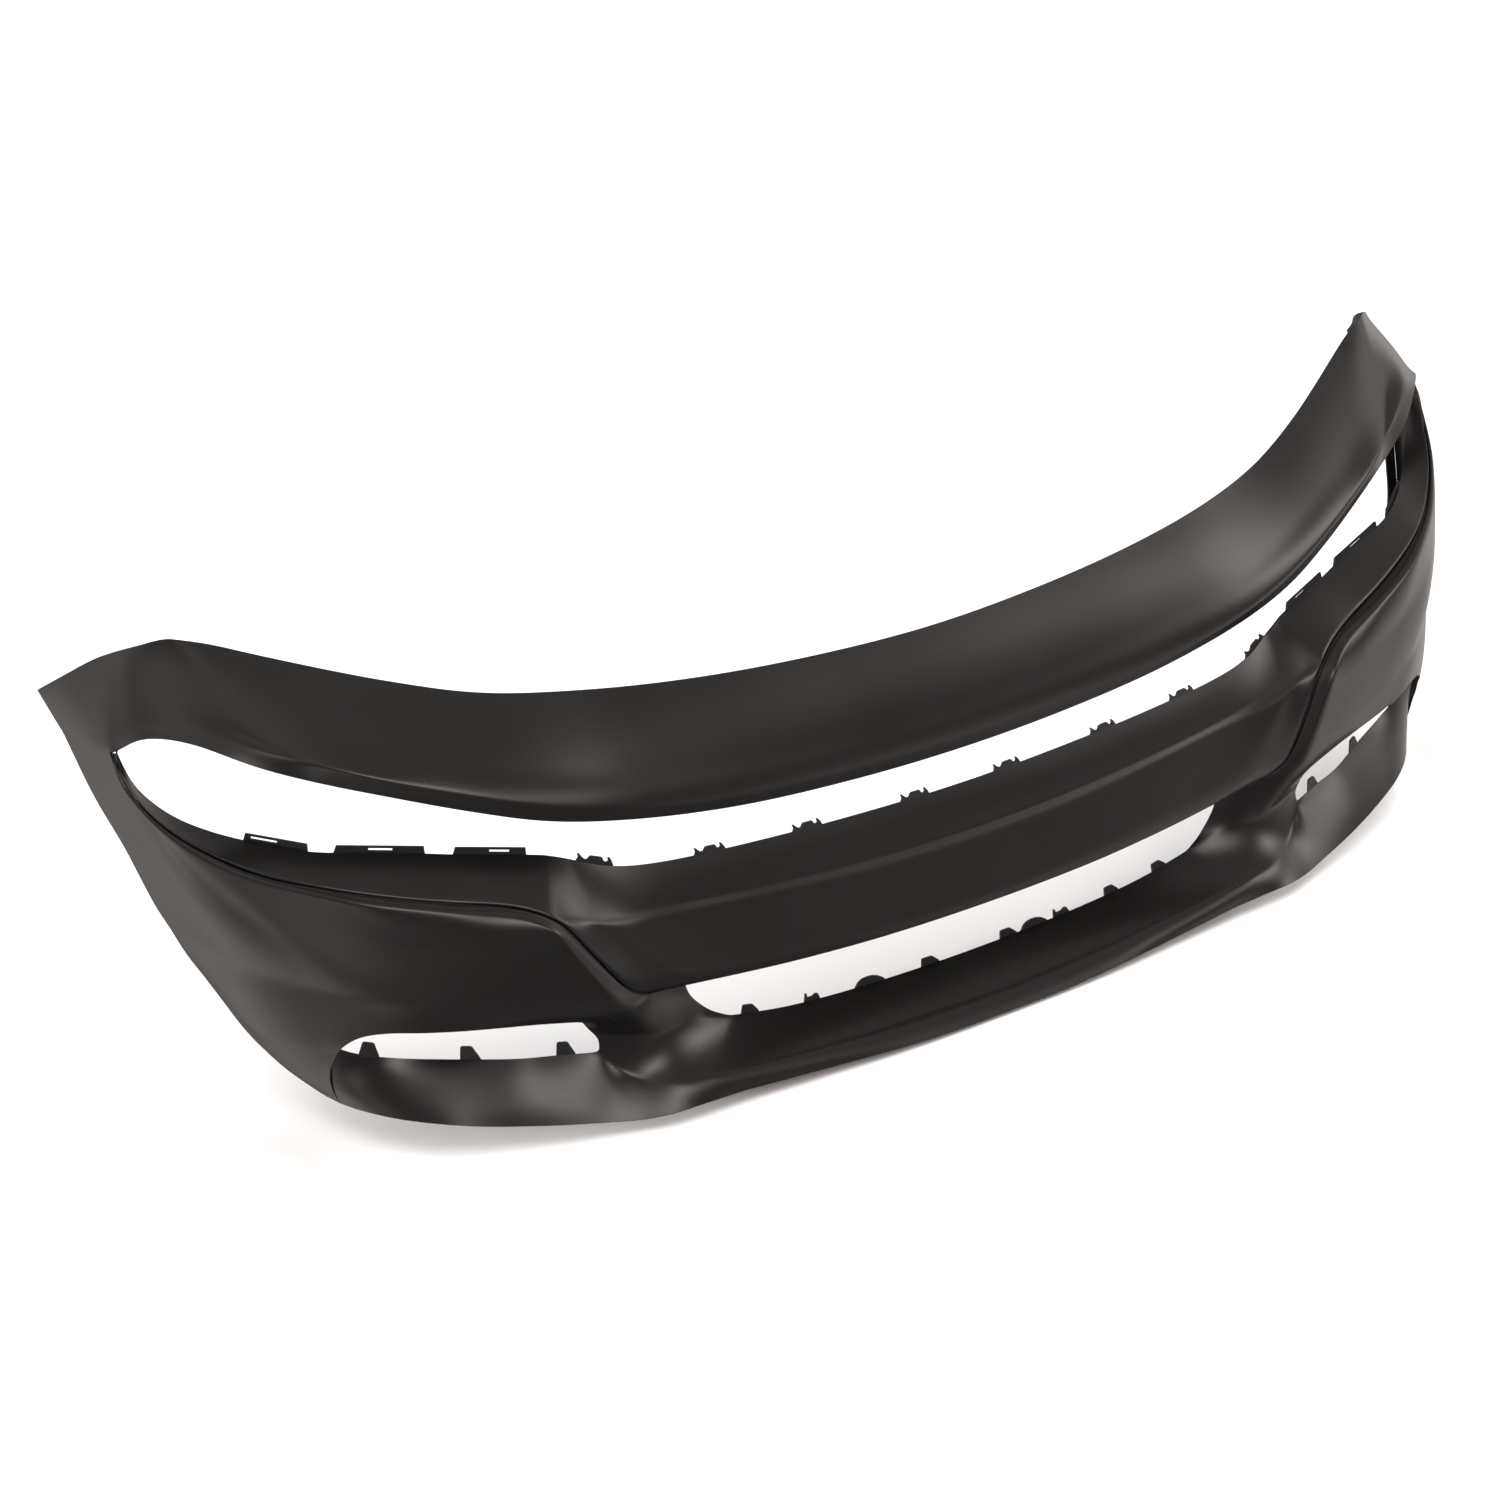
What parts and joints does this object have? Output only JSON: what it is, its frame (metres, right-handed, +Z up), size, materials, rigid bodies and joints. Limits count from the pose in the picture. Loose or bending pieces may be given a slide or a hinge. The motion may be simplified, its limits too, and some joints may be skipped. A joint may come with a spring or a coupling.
{
  "type": "car front bumper cover",
  "caption": "Thin-walled plastic front bumper cover with openings for the grille, headlamps, lower grille and fog lamps, clip tabs and mounting flanges.",
  "frame": {"origin": "middle of the bounding box's base, level with the underside of the undertray flange", "axes": "+Z up, +X to the right when looking along +Y at the cover's front, +Y from the front of the cover back towards the car"},
  "size_m": [1.89, 0.5509, 0.572],
  "materials": {
    "primed_skin": "satin black primer over moulded plastic, with a fine even grain",
    "flange_plastic": "unpainted moulded plastic, matt",
    "clip_plastic": "unpainted moulded plastic, satin"
  },
  "bodies": {
    "root": {"upper_band": "primed_skin", "band_lower_return": "primed_skin", "centre_bar_upper": "primed_skin", "centre_bar_lower": "primed_skin", "centre_bar_return": "flange_plastic", "chin_shelf": "primed_skin", "lip_face": "primed_skin", "chin_return": "flange_plastic", "hood_edge_flange": "flange_plastic", "right_fender_corner": "primed_skin", "left_fender_corner": "primed_skin", "right_bar_shoulder": "primed_skin", "left_bar_shoulder": "primed_skin", "right_lamp_ledge": "primed_skin", "left_lamp_ledge": "primed_skin", "right_lamp_step": "primed_skin", "left_lamp_step": "primed_skin", "right_bar_end_step": "primed_skin", "left_bar_end_step": "primed_skin", "right_side_panel_upper": "primed_skin", "left_side_panel_upper": "primed_skin", "right_side_panel_middle": "primed_skin", "left_side_panel_middle": "primed_skin", "right_side_panel_lower": "primed_skin", "left_side_panel_lower": "primed_skin", "right_wheel_corner": "primed_skin", "left_wheel_corner": "primed_skin", "right_pillar": "primed_skin", "left_pillar": "primed_skin", "right_lip_end": "primed_skin", "left_lip_end": "primed_skin", "right_fender_flange": "flange_plastic", "left_fender_flange": "flange_plastic", "right_wheel_arch_flange": "flange_plastic", "left_wheel_arch_flange": "flange_plastic", "upper_mounting_flange": "flange_plastic", "undertray_flange": "flange_plastic", "grille_clips": "clip_plastic", "lower_grille_tabs": "clip_plastic", "right_lamp_tabs": "clip_plastic", "left_lamp_tabs": "clip_plastic", "right_fog_tabs": "clip_plastic", "left_fog_tabs": "clip_plastic"}
  },
  "joints": []
}
